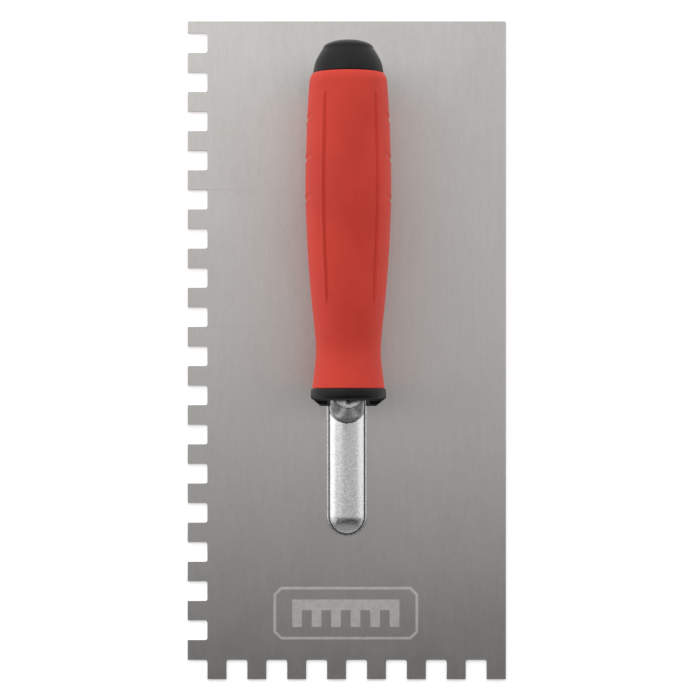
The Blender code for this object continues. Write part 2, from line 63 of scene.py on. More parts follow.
AXIS_Z = 0.0541
FALL = math.radians(1.2)
STATIONS = ((-0.0149, 0.01418), (-0.0115, 0.01372), (-0.0050, 0.01292), (0.0012, 0.01266), (0.0100, 0.01342),
            (0.0225, 0.01468), (0.0400, 0.01598), (0.0610, 0.01676), (0.0800, 0.01646), (0.0950, 0.01586),
            (0.1030, 0.01538), (0.1050, 0.01522), (0.1064, 0.01492), (0.1075, 0.01444), (0.1082, 0.01390))
WALL = 0.0025


# ------------------------------------------------------------------ helpers: geometry
def axis_point(a):
    return Vector((0.0, a * math.cos(FALL), AXIS_Z - a * math.sin(FALL)))


HANDLE = Matrix((
    (1.0, 0.0, 0.0, 0.0),
    (0.0, math.sin(FALL), math.cos(FALL), 0.0),
    (0.0, math.cos(FALL), -math.sin(FALL), AXIS_Z),
    (0.0, 0.0, 0.0, 1.0)))     # local x = row X, local y = up across the handle, local z = along its axis


def smoothstep(e0, e1, x):
    t = np.clip((x - e0) / (e1 - e0), 0.0, 1.0)
    return t * t * (3.0 - 2.0 * t)


def new_object(name, mesh):
    obj = bpy.data.objects.new(name, mesh)
    bpy.context.scene.collection.objects.link(obj)
    return obj


def grid_mesh(name, points, closed_u, closed_v):
    """A mesh from a grid of points (nu, nv, 3); closed_u joins the last row to the first."""
    nu, nv = points.shape[:2]
    mesh = bpy.data.meshes.new(name)
    i = np.arange(nu if closed_u else nu - 1)
    j = np.arange(nv if closed_v else nv - 1)
    ii, jj = np.meshgrid(i, j, indexing='ij')
    i2, j2 = (ii + 1) % nu, (jj + 1) % nv
    faces = np.stack([ii * nv + jj, i2 * nv + jj, i2 * nv + j2, ii * nv + j2], -1).reshape(-1, 4)
    mesh.from_pydata(points.reshape(-1, 3).tolist(), [], faces.tolist())
    mesh.update()
    return mesh


def outward(mesh):
    """Faces out, whatever way the grid ran."""
    bm = bmesh.new()
    bm.from_mesh(mesh)
    bmesh.ops.remove_doubles(bm, verts=bm.verts, dist=1e-7)
    bmesh.ops.recalc_face_normals(bm, faces=bm.faces)
    if bm.calc_volume(signed=True) < 0.0:
        bmesh.ops.reverse_faces(bm, faces=bm.faces)
    bm.to_mesh(mesh)
    bm.free()


def turned_mesh(name, profile, steps, closed, matrix=None):
    """Solid of revolution about local z from (radius, z) pairs; ends on the axis are capped to a point."""
    rows = []
    for r, z in profile:
        rows.append([(r * math.cos(2 * math.pi * k / steps), r * math.sin(2 * math.pi * k / steps), z)
                     for k in range(steps)])
    mesh = grid_mesh(name, np.array(rows), closed, True)
    bm = bmesh.new()
    bm.from_mesh(mesh)
    bmesh.ops.remove_doubles(bm, verts=bm.verts, dist=1e-7)
    bmesh.ops.recalc_face_normals(bm, faces=bm.faces)
    if bm.calc_volume(signed=True) < 0.0:
        bmesh.ops.reverse_faces(bm, faces=bm.faces)
    if matrix is not None:
        bmesh.ops.transform(bm, matrix=matrix, verts=bm.verts)
        if matrix.determinant() < 0.0:
            bmesh.ops.reverse_faces(bm, faces=bm.faces)
    bm.to_mesh(mesh)
    bm.free()
    return mesh


def cone_mesh(name, r1, r2, z1, z2, segments, xy=(0.0, 0.0)):
    bm = bmesh.new()
    bmesh.ops.create_cone(bm, cap_ends=True, segments=segments, radius1=r1, radius2=r2, depth=z2 - z1,
                          matrix=Matrix.Translation((xy[0], xy[1], (z1 + z2) / 2.0)))
    mesh = bpy.data.meshes.new(name)
    bm.to_mesh(mesh)
    bm.free()
    return mesh


def box_mesh(name, low, high):
    bm = bmesh.new()
    bmesh.ops.create_cube(bm, size=1.0)
    for v in bm.verts:
        v.co = Vector([(high[i] - low[i]) * v.co[i] + (high[i] + low[i]) / 2.0 for i in range(3)])
    mesh = bpy.data.meshes.new(name)
    bm.to_mesh(mesh)
    bm.free()
    return mesh


def apply_all(obj):
    """Bakes the object's modifiers into its mesh."""
    bpy.context.view_layer.update()
    dg = bpy.context.evaluated_depsgraph_get()
    mesh = bpy.data.meshes.new_from_object(obj.evaluated_get(dg))
    old = obj.data
    obj.modifiers.clear()
    obj.data = mesh
    mesh.name = obj.name
    bpy.data.meshes.remove(old)
    return obj


def cut(obj, meshes, operation='DIFFERENCE'):
    tools = []
    for m in meshes:
        tool = new_object(m.name + "_tool", m)
        tools.append(tool)
        mod = obj.modifiers.new("cut", 'BOOLEAN')
        mod.operation = operation
        mod.solver = 'EXACT'
        mod.object = tool
    apply_all(obj)
    for tool in tools:
        data = tool.data
        bpy.data.objects.remove(tool, do_unlink=True)
        bpy.data.meshes.remove(data)
    return obj


def shade(obj, angle):
    obj.data.shade_smooth()
    obj.data.set_sharp_from_angle(angle=math.radians(angle))


def catmull(stations, each=10):
    pts = [stations[0]] + list(stations) + [stations[-1]]
    out = []
    for i in range(1, len(pts) - 2):
        p0, p1, p2, p3 = (np.array(p) for p in pts[i - 1:i + 3])
        for s in range(each):
            t = s / each
            out.append(0.5 * (2 * p1 + (p2 - p0) * t + (2 * p0 - 5 * p1 + 4 * p2 - p3) * t * t
                              + (3 * p1 - p0 - 3 * p2 + p3) * t ** 3))
    out.append(np.array(stations[-1]))
    return np.array(out)


def post_y(z):
    return POST_BASE_Y + (POST_TOP_Y - POST_BASE_Y) * (z - POST_BASE_Z) / (POST_TOP_Z - POST_BASE_Z)


# ------------------------------------------------------------------ helpers: materials
class Nodes:
    def __init__(self, name):
        self.mat = bpy.data.materials.new(name)
        self.mat.use_nodes = True
        self.tree = self.mat.node_tree
        self.bsdf = self.tree.nodes["Principled BSDF"]
        self.coord = self.tree.nodes.new("ShaderNodeTexCoord")

    def set(self, name, value):
        self.bsdf.inputs[name].default_value = value

    def put(self, socket, value):
        if isinstance(value, bpy.types.NodeSocket):
            self.tree.links.new(value, socket)
        else:
            socket.default_value = value

    def math(self, op, a, b=None, c=None, clamp=False):
        n = self.tree.nodes.new("ShaderNodeMath")
        n.operation = op
        n.use_clamp = clamp
        for i, v in enumerate((a, b, c)):
            if v is not None:
                self.put(n.inputs[i], v)
        return n.outputs[0]

    def scaled(self, sx, sy, sz, source=None, offset=(0.0, 0.0, 0.0)):
        n = self.tree.nodes.new("ShaderNodeMapping")
        self.put(n.inputs["Vector"], source if source is not None else self.coord.outputs["Object"])
        n.inputs["Scale"].default_value = (sx, sy, sz)
        n.inputs["Location"].default_value = offset
        return n.outputs[0]

    def noise(self, vector, scale, detail=2.0, rough=0.5, distortion=0.0):
        n = self.tree.nodes.new("ShaderNodeTexNoise")
        self.put(n.inputs["Vector"], vector)
        n.inputs["Scale"].default_value = scale
        n.inputs["Detail"].default_value = detail
        n.inputs["Roughness"].default_value = rough
        n.inputs["Distortion"].default_value = distortion
        return n.outputs["Fac"]

    def voronoi(self, vector, scale, feature='F1'):
        n = self.tree.nodes.new("ShaderNodeTexVoronoi")
        n.feature = feature
        self.put(n.inputs["Vector"], vector)
        n.inputs["Scale"].default_value = scale
        return n.outputs["Distance"]

    def ramp(self, value, low, high, out_low=0.0, out_high=1.0, kind='SMOOTHSTEP'):
        n = self.tree.nodes.new("ShaderNodeMapRange")
        n.interpolation_type = kind
        self.put(n.inputs["Value"], value)
        n.inputs["From Min"].default_value = low
        n.inputs["From Max"].default_value = high
        n.inputs["To Min"].default_value = out_low
        n.inputs["To Max"].default_value = out_high
        return n.outputs["Result"]

    def mix(self, factor, a, b):
        n = self.tree.nodes.new("ShaderNodeMix")
        n.data_type = 'RGBA'
        self.put(n.inputs["Factor"], factor)
        self.put(n.inputs["A"], a)
        self.put(n.inputs["B"], b)
        return n.outputs["Result"]

    def xyz(self, source=None):
        n = self.tree.nodes.new("ShaderNodeSeparateXYZ")
        self.put(n.inputs[0], source if source is not None else self.coord.outputs["Object"])
        return n.outputs

    def bump(self, height, strength, distance, normal=None):
        n = self.tree.nodes.new("ShaderNodeBump")
        n.inputs["Strength"].default_value = strength
        n.inputs["Distance"].default_value = distance
        self.put(n.inputs["Height"], height)
        if normal is not None:
            self.put(n.inputs["Normal"], normal)
        return n.outputs["Normal"]

    def link(self, name, value):
        self.put(self.bsdf.inputs[name], value)


def rgb(r, g, b):
    return (r, g, b, 1.0)


# ------------------------------------------------------------------ materials
PANEL = (-0.0004, -0.1078, 0.0297, 0.0108)          # etched panel: centre, half width, half height


def stainless():
    n = Nodes("stainless_brushed_sheet")
    n.set("Metallic", 1.0)
    n.set("Anisotropic", 0.80)
    across = n.tree.nodes.new("ShaderNodeTangent")
    across.direction_type = 'UV_MAP'
    across.uv_map = "sheet"
    n.link("Tangent", across.outputs[0])
    x, y, z = n.xyz()
    grain = n.noise(n.scaled(2300.0, 240.0, 200.0), 1.0, 4.0, 0.68)
    broad = n.noise(n.scaled(420.0, 60.0, 60.0), 1.0, 3.0, 0.55)
    cloud = n.noise(n.scaled(42.0, 30.0, 30.0), 1.0, 3.0, 0.55)
    fleck = n.noise(n.scaled(1250.0, 1000.0, 900.0), 1.0, 3.0, 0.7)
    tone = n.math('ADD', n.math('MULTIPLY', grain, 0.34), n.math('MULTIPLY', broad, 0.18))
    tone = n.math('ADD', tone, n.math('MULTIPLY', cloud, 0.22))
    tone = n.math('ADD', tone, n.math('MULTIPLY', fleck, 0.26))
    colour = n.mix(n.ramp(tone, 0.34, 0.66), rgb(0.535, 0.518, 0.498), rgb(0.605, 0.592, 0.574))
    # fine handling scratches, each set of lines along its own direction
    scratch_a = n.ramp(n.noise(n.scaled(160.0, 5200.0, 10.0, offset=(3.1, 0.7, 0.0)), 1.0, 1.0, 0.5), 0.72, 0.80)
    turned = n.tree.nodes.new("ShaderNodeVectorRotate")
    turned.rotation_type = 'Z_AXIS'
    n.put(turned.inputs["Vector"], n.coord.outputs["Object"])
    turned.inputs["Angle"].default_value = 0.62
    scratch_b = n.ramp(n.noise(n.scaled(4200.0, 90.0, 10.0, turned.outputs[0]), 1.0, 1.0, 0.5), 0.745, 0.81)
    scratch = n.math('MAXIMUM', scratch_a, scratch_b)
    # etched panel
    px = n.math('ABSOLUTE', n.math('SUBTRACT', x, PANEL[0]))
    lx = n.math('SUBTRACT', x, PANEL[0])
    ly = n.math('SUBTRACT', y, PANEL[1])
    py = n.math('ABSOLUTE', ly)
    hx, hy, chamfer, line, soft = PANEL[2], PANEL[3], 0.0030, 0.0011, 0.00012
    edge = n.math('MAXIMUM', n.math('SUBTRACT', px, hx), n.math('SUBTRACT', py, hy))
    slant = n.math('MULTIPLY', n.math('SUBTRACT', n.math('ADD', px, py), hx + hy - chamfer), 0.70711)
    edge = n.math('MAXIMUM', edge, slant)
    border = n.ramp(n.math('ABSOLUTE', n.math('ADD', edge, line / 2.0)), line / 2.0 - soft, line / 2.0 + soft, 1.0, 0.0)
    # a comb-shaped pictogram: a bar with square teeth
    half_w, pitch = 0.0220, 0.0080
    inside_x = n.ramp(px, half_w - soft, half_w + soft, 1.0, 0.0)
    bar = n.ramp(n.math('ABSOLUTE', n.math('SUBTRACT', ly, 0.0034)), 0.0022 - soft, 0.0022 + soft, 1.0, 0.0)
    saw = n.math('FRACT', n.math('DIVIDE', n.math('ADD', lx, half_w), pitch))
    tooth = n.ramp(n.math('ABSOLUTE', n.math('SUBTRACT', saw, 0.25)), 0.25 - soft / pitch, 0.25 + soft / pitch, 1.0, 0.0)
    drop = n.ramp(n.math('ABSOLUTE', n.math('ADD', ly, 0.0022)), 0.0035 - soft, 0.0035 + soft, 1.0, 0.0)
    glyph = n.math('MULTIPLY', inside_x, n.math('MAXIMUM', bar, n.math('MULTIPLY', tooth, drop)))
    mask = n.math('MAXIMUM', border, glyph)
    up = n.ramp(z, 0.0006, 0.00075)
    mask = n.math('MULTIPLY', mask, up)
    frost = n.noise(n.scaled(3000.0, 3000.0, 3000.0), 1.0, 2.0, 0.6)
    worn = n.ramp(n.noise(n.scaled(420.0, 420.0, 420.0), 1.0, 3.0, 0.6), 0.30, 0.62, 0.72, 1.0)
    mask = n.math('MULTIPLY', mask, worn)
    colour = n.mix(n.math('MULTIPLY', scratch, 0.25), colour, rgb(0.72, 0.71, 0.69))
    colour = n.mix(mask, colour, n.mix(frost, rgb(0.80, 0.79, 0.76), rgb(0.93, 0.92, 0.89)))
    n.link("Base Color", colour)
    rough = n.ramp(tone, 0.30, 0.70, 0.27, 0.33)
    rough = n.math('ADD', rough, n.math('MULTIPLY', mask, 0.15))
    n.link("Roughness", rough)
    height = n.math('ADD', n.math('MULTIPLY', grain, 0.7), n.math('MULTIPLY', fleck, 0.5))
    height = n.math('SUBTRACT', height, n.math('MULTIPLY', scratch, 0.35))
    height = n.math('SUBTRACT', height, n.math('MULTIPLY', mask, 0.8))
    n.link("Normal", n.bump(height, 0.16, 0.00002))
    return n.mat


def cast_aluminium():
    n = Nodes("tumbled_cast_aluminium")
    n.set("Metallic", 1.0)
    x, y, z = n.xyz()
    skin = n.noise(n.scaled(1500.0, 1250.0, 1500.0), 1.0, 4.0, 0.62, 0.3)
    fine = n.noise(n.scaled(4200.0, 3900.0, 4200.0), 1.0, 2.0, 0.6)
    broad = n.noise(n.scaled(190.0, 130.0, 190.0), 1.0, 2.0, 0.5)
    pits = n.ramp(n.voronoi(n.scaled(1250.0, 1150.0, 1250.0, offset=(5.0, 2.0, 1.0)), 1.0), 0.05, 0.24, 1.0, 0.0)
    sparse = n.ramp(n.noise(n.scaled(420.0, 330.0, 420.0, offset=(2.0, 7.0, 3.0)), 1.0, 2.0, 0.5), 0.40, 0.56)
    pits = n.math('MULTIPLY', pits, sparse)
    colour = n.mix(n.ramp(skin, 0.38, 0.64), rgb(0.76, 0.76, 0.775), rgb(0.98, 0.98, 0.985))
    colour = n.mix(n.math('MULTIPLY', pits, 0.85), colour, rgb(0.20, 0.20, 0.22))
    # parting line of the mould up the post; it fades in just above the crown's top
    wander = n.math('MULTIPLY', n.math('SUBTRACT', n.noise(n.scaled(1.0, 60.0, 60.0), 1.0, 2.0, 0.5), 0.5), 0.0006)
    off = n.math('ABSOLUTE', n.math('SUBTRACT', x, wander))
    seam = n.ramp(off, 0.00010, 0.00034, 1.0, 0.0)
    broken = n.ramp(n.noise(n.scaled(1.0, 110.0, 110.0, offset=(0.0, 4.0, 2.0)), 1.0, 3.0, 0.6), 0.38, 0.62)
    seam = n.math('MULTIPLY', seam, broken)
    top = n.math('MULTIPLY', seam, n.ramp(z, 0.0070, 0.0085))
    colour = n.mix(n.math('MULTIPLY', top, 0.45), colour, rgb(0.40, 0.40, 0.41))
    # painted shade: a dark line along the crease where the crown meets the flange
    past = n.math('MAXIMUM', n.math('SUBTRACT', n.math('ABSOLUTE', y), CROWN_HALF - CROWN_RADIUS), 0.0)
    reach = n.math('SQRT', n.math('ADD', n.math('MULTIPLY', x, x), n.math('MULTIPLY', past, past)))
    crease = n.ramp(n.math('ABSOLUTE', n.math('SUBTRACT', reach, CROWN_RADIUS + 0.00022)), 0.00018, 0.00036, 1.0, 0.0)
    crease = n.math('MULTIPLY', crease, n.ramp(z, 0.0030, 0.0040, 1.0, 0.0))
    # painted shade: a dark ring in the fillet round the foot of the post
    lean = (POST_TOP_Y - POST_BASE_Y) / (POST_TOP_Z - POST_BASE_Z)
    taper = (POST_TOP_R - POST_BASE_R) / (POST_TOP_Z - POST_BASE_Z)
    rise = n.math('SUBTRACT', z, POST_BASE_Z)
    dy = n.math('SUBTRACT', y, n.math('ADD', n.math('MULTIPLY', rise, lean), POST_BASE_Y))
    away = n.math('SQRT', n.math('ADD', n.math('MULTIPLY', x, x), n.math('MULTIPLY', dy, dy)))
    away = n.math('SUBTRACT', away, n.math('ADD', n.math('MULTIPLY', rise, taper), POST_BASE_R))
    foot = n.ramp(n.math('ABSOLUTE', n.math('SUBTRACT', away, 0.00052)), 0.00022, 0.00050, 1.0, 0.0)
    foot = n.math('MULTIPLY', foot, n.ramp(z, 0.0082, 0.0094, 1.0, 0.0))
    # painted shade: a dark band just under the post's head, where it sits in the collar's seat
    below = n.math('SUBTRACT', n.math('ADD', n.math('MULTIPLY', dy, lean), POST_TOP_Z - 0.0005), z)
    head = n.math('MULTIPLY', n.ramp(below, 0.00045, 0.00065), n.ramp(below, 0.0028, 0.0040, 1.0, 0.0))
    # the three painted shade lines darken the base colour towards near black
    painted_shade = n.math('MAXIMUM', n.math('MAXIMUM', n.math('MULTIPLY', crease, 0.92), n.math('MULTIPLY', foot, 0.75)), n.math('MULTIPLY', head, 0.72))
    n.link("Base Color", n.mix(painted_shade, colour, rgb(0.030, 0.030, 0.033)))
    rough = n.ramp(skin, 0.30, 0.72, 0.24, 0.36)
    rough = n.math('ADD', rough, n.math('MULTIPLY', pits, 0.20))
    n.link("Roughness", rough)
    height = n.math('ADD', n.math('MULTIPLY', skin, 0.55), n.math('MULTIPLY', fine, 0.12))
    height = n.math('ADD', height, n.math('MULTIPLY', broad, 0.9))
    height = n.math('SUBTRACT', height, n.math('MULTIPLY', pits, 0.7))
    height = n.math('ADD', height, n.math('MULTIPLY', top, 1.1))
    n.link("Normal", n.bump(height, 0.5, 0.00005))
    return n.mat


def red_rubber():
    n = Nodes("red_grip_rubber")
    x, y, z = n.xyz()
    grain = n.noise(n.scaled(2400.0, 2400.0, 2400.0), 1.0, 2.0, 0.6)
    cloud = n.noise(n.scaled(70.0, 45.0, 70.0), 1.0, 3.0, 0.5)
    speck = n.ramp(n.noise(n.scaled(1300.0, 1300.0, 1300.0, offset=(1.0, 3.0, 8.0)), 1.0, 1.0, 0.5), 0.70, 0.80)
    colour = n.mix(n.ramp(cloud, 0.30, 0.70), rgb(0.555, 0.044, 0.028), rgb(0.620, 0.053, 0.034))
    colour = n.mix(n.math('MULTIPLY', speck, 0.18), colour, rgb(0.72, 0.24, 0.20))
    n.link("Base Color", colour)
    rough = n.ramp(cloud, 0.30, 0.72, 0.50, 0.60)
    rough = n.math('ADD', rough, n.math('MULTIPLY', grain, 0.06))
    n.link("Roughness", rough)
    n.set("Specular IOR Level", 0.16)
    n.set("Sheen Weight", 0.04)
    n.set("Sheen Roughness", 0.30)
    n.link("Normal", n.bump(grain, 0.22, 0.00004))
    return n.mat


def black_plastic(name, level, rough_low, rough_high, seed):
    n = Nodes(name)
    n.set("Specular IOR Level", 0.17)
    grain = n.noise(n.scaled(3000.0, 3000.0, 3000.0, offset=(seed, 0.0, 0.0)), 1.0, 2.0, 0.6)
    cloud = n.noise(n.scaled(150.0, 150.0, 150.0, offset=(0.0, seed, 0.0)), 1.0, 3.0, 0.5)
    flow = n.noise(n.scaled(60.0, 500.0, 60.0, offset=(0.0, 0.0, seed)), 1.0, 2.0, 0.5)
    tone = n.math('ADD', n.math('MULTIPLY', cloud, 0.6), n.math('MULTIPLY', flow, 0.4))
    n.link("Base Color", n.mix(n.ramp(tone, 0.3, 0.7), rgb(level * 0.75, level * 0.75, level * 0.80),
                               rgb(level * 1.30, level * 1.30, level * 1.36)))
    n.link("Roughness", n.math('ADD', n.ramp(tone, 0.3, 0.7, rough_low, rough_high), n.math('MULTIPLY', grain, 0.08)))
    n.link("Normal", n.bump(grain, 0.30, 0.00004))
    return n.mat


def ground_rivet():
    n = Nodes("ground_aluminium_rivet")
    n.set("Metallic", 1.0)
    lines = n.noise(n.scaled(420.0, 6200.0, 300.0), 1.0, 2.0, 0.6)
    cloud = n.noise(n.scaled(700.0, 700.0, 700.0), 1.0, 3.0, 0.5)
    n.link("Base Color", n.mix(n.ramp(cloud, 0.3, 0.7), rgb(0.62, 0.62, 0.63), rgb(0.78, 0.78, 0.79)))
    n.link("Roughness", n.ramp(lines, 0.3, 0.7, 0.30, 0.46))
    n.link("Normal", n.bump(lines, 0.25, 0.00003))
    return n.mat


def plated(name, low, high, rough):
    n = Nodes(name)
    n.set("Metallic", 1.0)
    cloud = n.noise(n.scaled(900.0, 900.0, 900.0), 1.0, 3.0, 0.55)
    fine = n.noise(n.scaled(5200.0, 5200.0, 5200.0), 1.0, 2.0, 0.6)
    n.link("Base Color", n.mix(n.ramp(cloud, 0.3, 0.7), low, high))
    n.link("Roughness", n.ramp(cloud, 0.3, 0.7, rough - 0.06, rough + 0.08))
    n.link("Normal", n.bump(fine, 0.25, 0.00002))
    return n.mat


# ------------------------------------------------------------------ blade
def arc(cx, cy, start, sweep, radius, steps=8):
    return [(cx + radius * math.cos(start + sweep * i / steps), cy + radius * math.sin(start + sweep * i / steps))
            for i in range(steps + 1)]


def blade_outline():
    hx, hy, rr, half = BLADE_WIDTH / 2.0, BLADE_LENGTH / 2.0, ROOT_RADIUS, math.pi / 2.0
    tip = 0.00025                                     # the stamped corners are a touch round
    pts = arc(hx - 0.0004, -hy + 0.0004, -half, half, 0.0004, 4)
    pts += arc(hx - 0.0004, hy - 0.0004, 0.0, half, 0.0004, 4)
    pts += arc(-hx + 0.0004, hy - 0.0004, half, half, 0.0004, 4)
    root = -hx + SIDE_DEPTH
    for k in range(SIDE_COUNT):
        y = SIDE_FIRST - SIDE_PITCH * k
        top, low = y + SIDE_WIDTH / 2.0, y - SIDE_WIDTH / 2.0
        pts += arc(-hx + tip, top + tip, math.pi, half, tip, 3)
        pts += arc(root - rr, top - rr, half, -half, rr)
        pts += arc(root - rr, low + rr, 0.0, -half, rr)
        pts += arc(-hx + tip, low - tip, half, half, tip, 3)
    cy = -hy + END_DEPTH
    cx = END_FIRST - END_WIDTH / 2.0 - (END_PITCH - END_WIDTH)
    pts += arc(-hx + tip, cy + tip, math.pi, half, tip, 3)
    pts += arc(cx - rr, cy - rr, half, -half, rr)
    pts += arc(cx + tip, -hy + tip, math.pi, half, tip, 3)
    for k in range(END_COUNT):
        x = END_FIRST + END_PITCH * k
        left, right = x - END_WIDTH / 2.0, x + END_WIDTH / 2.0
        pts += arc(left - tip, -hy + tip, -half, half, tip, 3)
        pts += arc(left + rr, cy - rr, math.pi, -half, rr)
        pts += arc(right - rr, cy - rr, half, -half, rr)
        pts += arc(right + tip, -hy + tip, math.pi, half, tip, 3)
    return pts


HEAD_R, NECK_R = 0.00318, 0.00238


def make_blade(mat):
    edge = 0.00009                                    # rounding of the sheet's edges
    curve = bpy.data.curves.new("blade_outline", 'CURVE')
    curve.dimensions = '2D'
    curve.fill_mode = 'BOTH'
    curve.extrude = BLADE_THICKNESS / 2.0 - edge
    curve.bevel_depth = edge
    curve.bevel_resolution = 2
    curve.offset = -edge
    loops = [blade_outline()]
    for y in RIVETS:
        loops.append([(HEAD_R * math.cos(2 * math.pi * k / 48), y + HEAD_R * math.sin(2 * math.pi * k / 48)) for k in range(48)])
    for loop in loops:
        spline = curve.splines.new('POLY')
        spline.points.add(len(loop) - 1)
        for p, (px, py) in zip(spline.points, loop):
            p.co = (px, py, 0.0, 1.0)
        spline.use_cyclic_u = True
    source = new_object("blade_source", curve)
    source.location = (0.0, 0.0, BLADE_THICKNESS / 2.0)
    bpy.context.view_layer.update()
    mesh = bpy.data.meshes.new_from_object(source.evaluated_get(bpy.context.evaluated_depsgraph_get()))
    mesh.transform(source.matrix_world)
    bpy.data.objects.remove(source, do_unlink=True)
    bm = bmesh.new()
    bm.from_mesh(mesh)
    bmesh.ops.remove_doubles(bm, verts=bm.verts, dist=1e-6)
    # the rivet holes narrow upward: countersunk from the working face
    for v in bm.verts:
        for y in RIVETS:
            dx, dy = v.co.x, v.co.y - y
            r = math.hypot(dx, dy)
            if r < HEAD_R + 0.0004:
                want = r + (NECK_R - HEAD_R) * min(1.0, max(0.0, v.co.z / BLADE_THICKNESS))
                v.co.x, v.co.y = dx * want / r, y + dy * want / r
    bmesh.ops.recalc_face_normals(bm, faces=bm.faces)
    bm.to_mesh(mesh)
    bm.free()
    mesh.materials.clear()
    mesh.materials.append(mat)
    while mesh.uv_layers:
        mesh.uv_layers.remove(mesh.uv_layers[0])
    uv = mesh.uv_layers.new(name="sheet")
    for loop in mesh.loops:
        co = mesh.vertices[loop.vertex_index].co
        uv.data[loop.index].uv = (0.5 + co.x / 0.3 + co.z * 0.37, 0.5 + co.y / 0.3 + co.z * 0.41)
    obj = new_object("blade_sheet", mesh)
    obj.data.shade_flat()
    return obj


# ------------------------------------------------------------------ mounting
CROWN_SLOPE = math.radians(46.0)                     # how steep the crown is where it meets its low upright step
CROWN_ARC = CROWN_RADIUS / math.sin(CROWN_SLOPE)
CROWN_ARC_Z = FLANGE_TOP + CROWN_HEIGHT - CROWN_ARC


def crown_height(x):
    return CROWN_ARC_Z + math.sqrt(max(CROWN_ARC ** 2 - min(abs(x), CROWN_RADIUS) ** 2, 0.0))


def rib_mesh(low):
    """Crown and lip as one skin: a section swept round a stadium, with a fillet in the crease."""
    hw, medial = FLANGE_WIDTH / 2.0, CROWN_HALF - CROWN_RADIUS
    section = [(0.0, low), (hw * 0.5, low), (hw - 0.00020, low)]
    section += [(hw - 0.0002 + 0.0002 * math.sin(t), low + 0.0002 - 0.0002 * math.cos(t)) for t in (0.5, 1.05, 1.5708)]
    edge, crease = 0.00024, 0.00024
    section += [(hw - edge + edge * math.cos(t), FLANGE_TOP - edge + edge * math.sin(t)) for t in np.linspace(0.0, math.pi / 2.0, 6)]
    section += [(CROWN_RADIUS + crease - crease * math.sin(t), FLANGE_TOP + crease - crease * math.cos(t)) for t in np.linspace(0.0, math.pi / 2.0, 6)]
    round_off = 0.00018
    section += [(CROWN_RADIUS, crown_height(CROWN_RADIUS) - round_off), (CROWN_RADIUS - 0.00003, crown_height(CROWN_RADIUS) - round_off * 0.35),
                (CROWN_RADIUS - 0.00011, crown_height(CROWN_RADIUS - 0.00011))]
    section += [(CROWN_ARC * math.sin(t), crown_height(CROWN_ARC * math.sin(t))) for t in np.linspace(CROWN_SLOPE - 0.03, 0.0, 42)]
    section[-1] = (0.0, section[-1][1])
    path = [(0.0, y, 1.0, 0.0) for y in np.linspace(-medial, medial, 200)]
    path += [(0.0, medial, math.cos(t), math.sin(t)) for t in np.linspace(0.0, math.pi, 41)[1:-1]]
    path += [(0.0, y, -1.0, 0.0) for y in np.linspace(medial, -medial, 200)]
    path += [(0.0, -medial, math.cos(t), math.sin(t)) for t in np.linspace(math.pi, 2.0 * math.pi, 41)[1:-1]]
    pts = np.array([[(px + r * nx, py + r * ny, z) for px, py, nx, ny in path] for r, z in section])
    mesh = grid_mesh("rib", pts, False, True)
    outward(mesh)
    return mesh


def post_mesh():
    """The leaning post: round head, and a foot that flares into the crown of the rib."""
    steps = 120
    edge = 0.00042
    columns = []
    for k in range(steps):
        t = 2.0 * math.pi * k / steps
        cx, cy = math.cos(t), math.sin(t)
        fillet = 0.00030 + 0.00050 * abs(cy) ** 1.5

        def radius(z):
            return POST_BASE_R + (POST_TOP_R - POST_BASE_R) * (z - POST_BASE_Z) / (POST_TOP_Z - POST_BASE_Z)

        ground = crown_height((POST_BASE_R + fillet * 0.5) * cx)
        column = []
        for u in np.linspace(math.pi / 2.0, 0.0, 7):
            column.append((POST_TOP_R - edge + edge * math.cos(u), POST_TOP_Z - edge + edge * math.sin(u)))
        for z in np.linspace(POST_TOP_Z - edge - 0.0032, ground + fillet, 46):
            column.append((radius(z), z))
        for u in np.linspace(0.0, math.pi / 2.0, 8)[1:]:
            column.append((radius(ground) + fillet * (1.0 - math.cos(u)), ground + fillet * (1.0 - math.sin(u))))
        column.append((radius(ground) + fillet, ground - 0.0004))
        column.append((POST_BASE_R * 0.6, 0.0020))
        lean = (POST_TOP_Y - POST_BASE_Y) / (POST_TOP_Z - POST_BASE_Z)
        columns.append([(r * cx, post_y(z) + r * cy, z - (0.0005 + r * cy * lean if i < 7 else 0.0))
                        for i, (r, z) in enumerate(column)])
    pts = np.array(columns).transpose(1, 0, 2)
    mesh = grid_mesh("post", pts, False, True)
    bm = bmesh.new()
    bm.from_mesh(mesh)
    bmesh.ops.holes_fill(bm, edges=[e for e in bm.edges if e.is_boundary], sides=0)
    bm.to_mesh(mesh)
    bm.free()
    outward(mesh)
    return mesh


def make_mounting(mat):
    low = BLADE_THICKNESS + 0.00003
    obj = new_object("mounting_casting", rib_mesh(low))
    r_front, r_back = 0.0044, 0.0039
    tang = turned_mesh("tang", [(0.0, 0.0880), (r_back - 0.0005, 0.0880), (r_back, 0.0875)]
                       + [(r_back + (r_front - r_back) * t, 0.0875 - 0.1040 * t) for t in np.linspace(0.04, 1.0, 24)] + [(0.0, -0.0165)],
                       64, False, HANDLE)
    cut(obj, [post_mesh(), tang], 'UNION')
    holes = [cone_mesh("rivet_hole_%d" % i, 0.0018, 0.0018, -0.001, 0.0059, 32, (0.0, y)) for i, y in enumerate(RIVETS)]
    hole = turned_mesh("tang_hole", [(0.0, 0.090), (0.0028, 0.090), (0.0028, 0.0755), (0.0, 0.0755)], 32, False, HANDLE)
    bm = bmesh.new()
    bmesh.ops.create_uvsphere(bm, u_segments=48, v_segments=48, radius=0.0030,
                              matrix=Matrix.Translation((0.0002, post_y(POST_TOP_Z) - 0.0024, POST_TOP_Z - 0.0002 + 0.0028)))
    dimple = bpy.data.meshes.new("dimple")
    bm.to_mesh(dimple)
    bm.free()
    cut(obj, holes + [hole, dimple])
    obj.data.materials.clear()
    obj.data.materials.append(mat)
    shade(obj, 34.0)
    return obj


# ------------------------------------------------------------------ grip sleeve
ROLL = math.radians(3.4)          # the moulded panel sits a little round from straight up
GROOVES = [0.0583 + 0.0158 * k for k in range(3)]
LEAN = math.tan(math.radians(12.0))


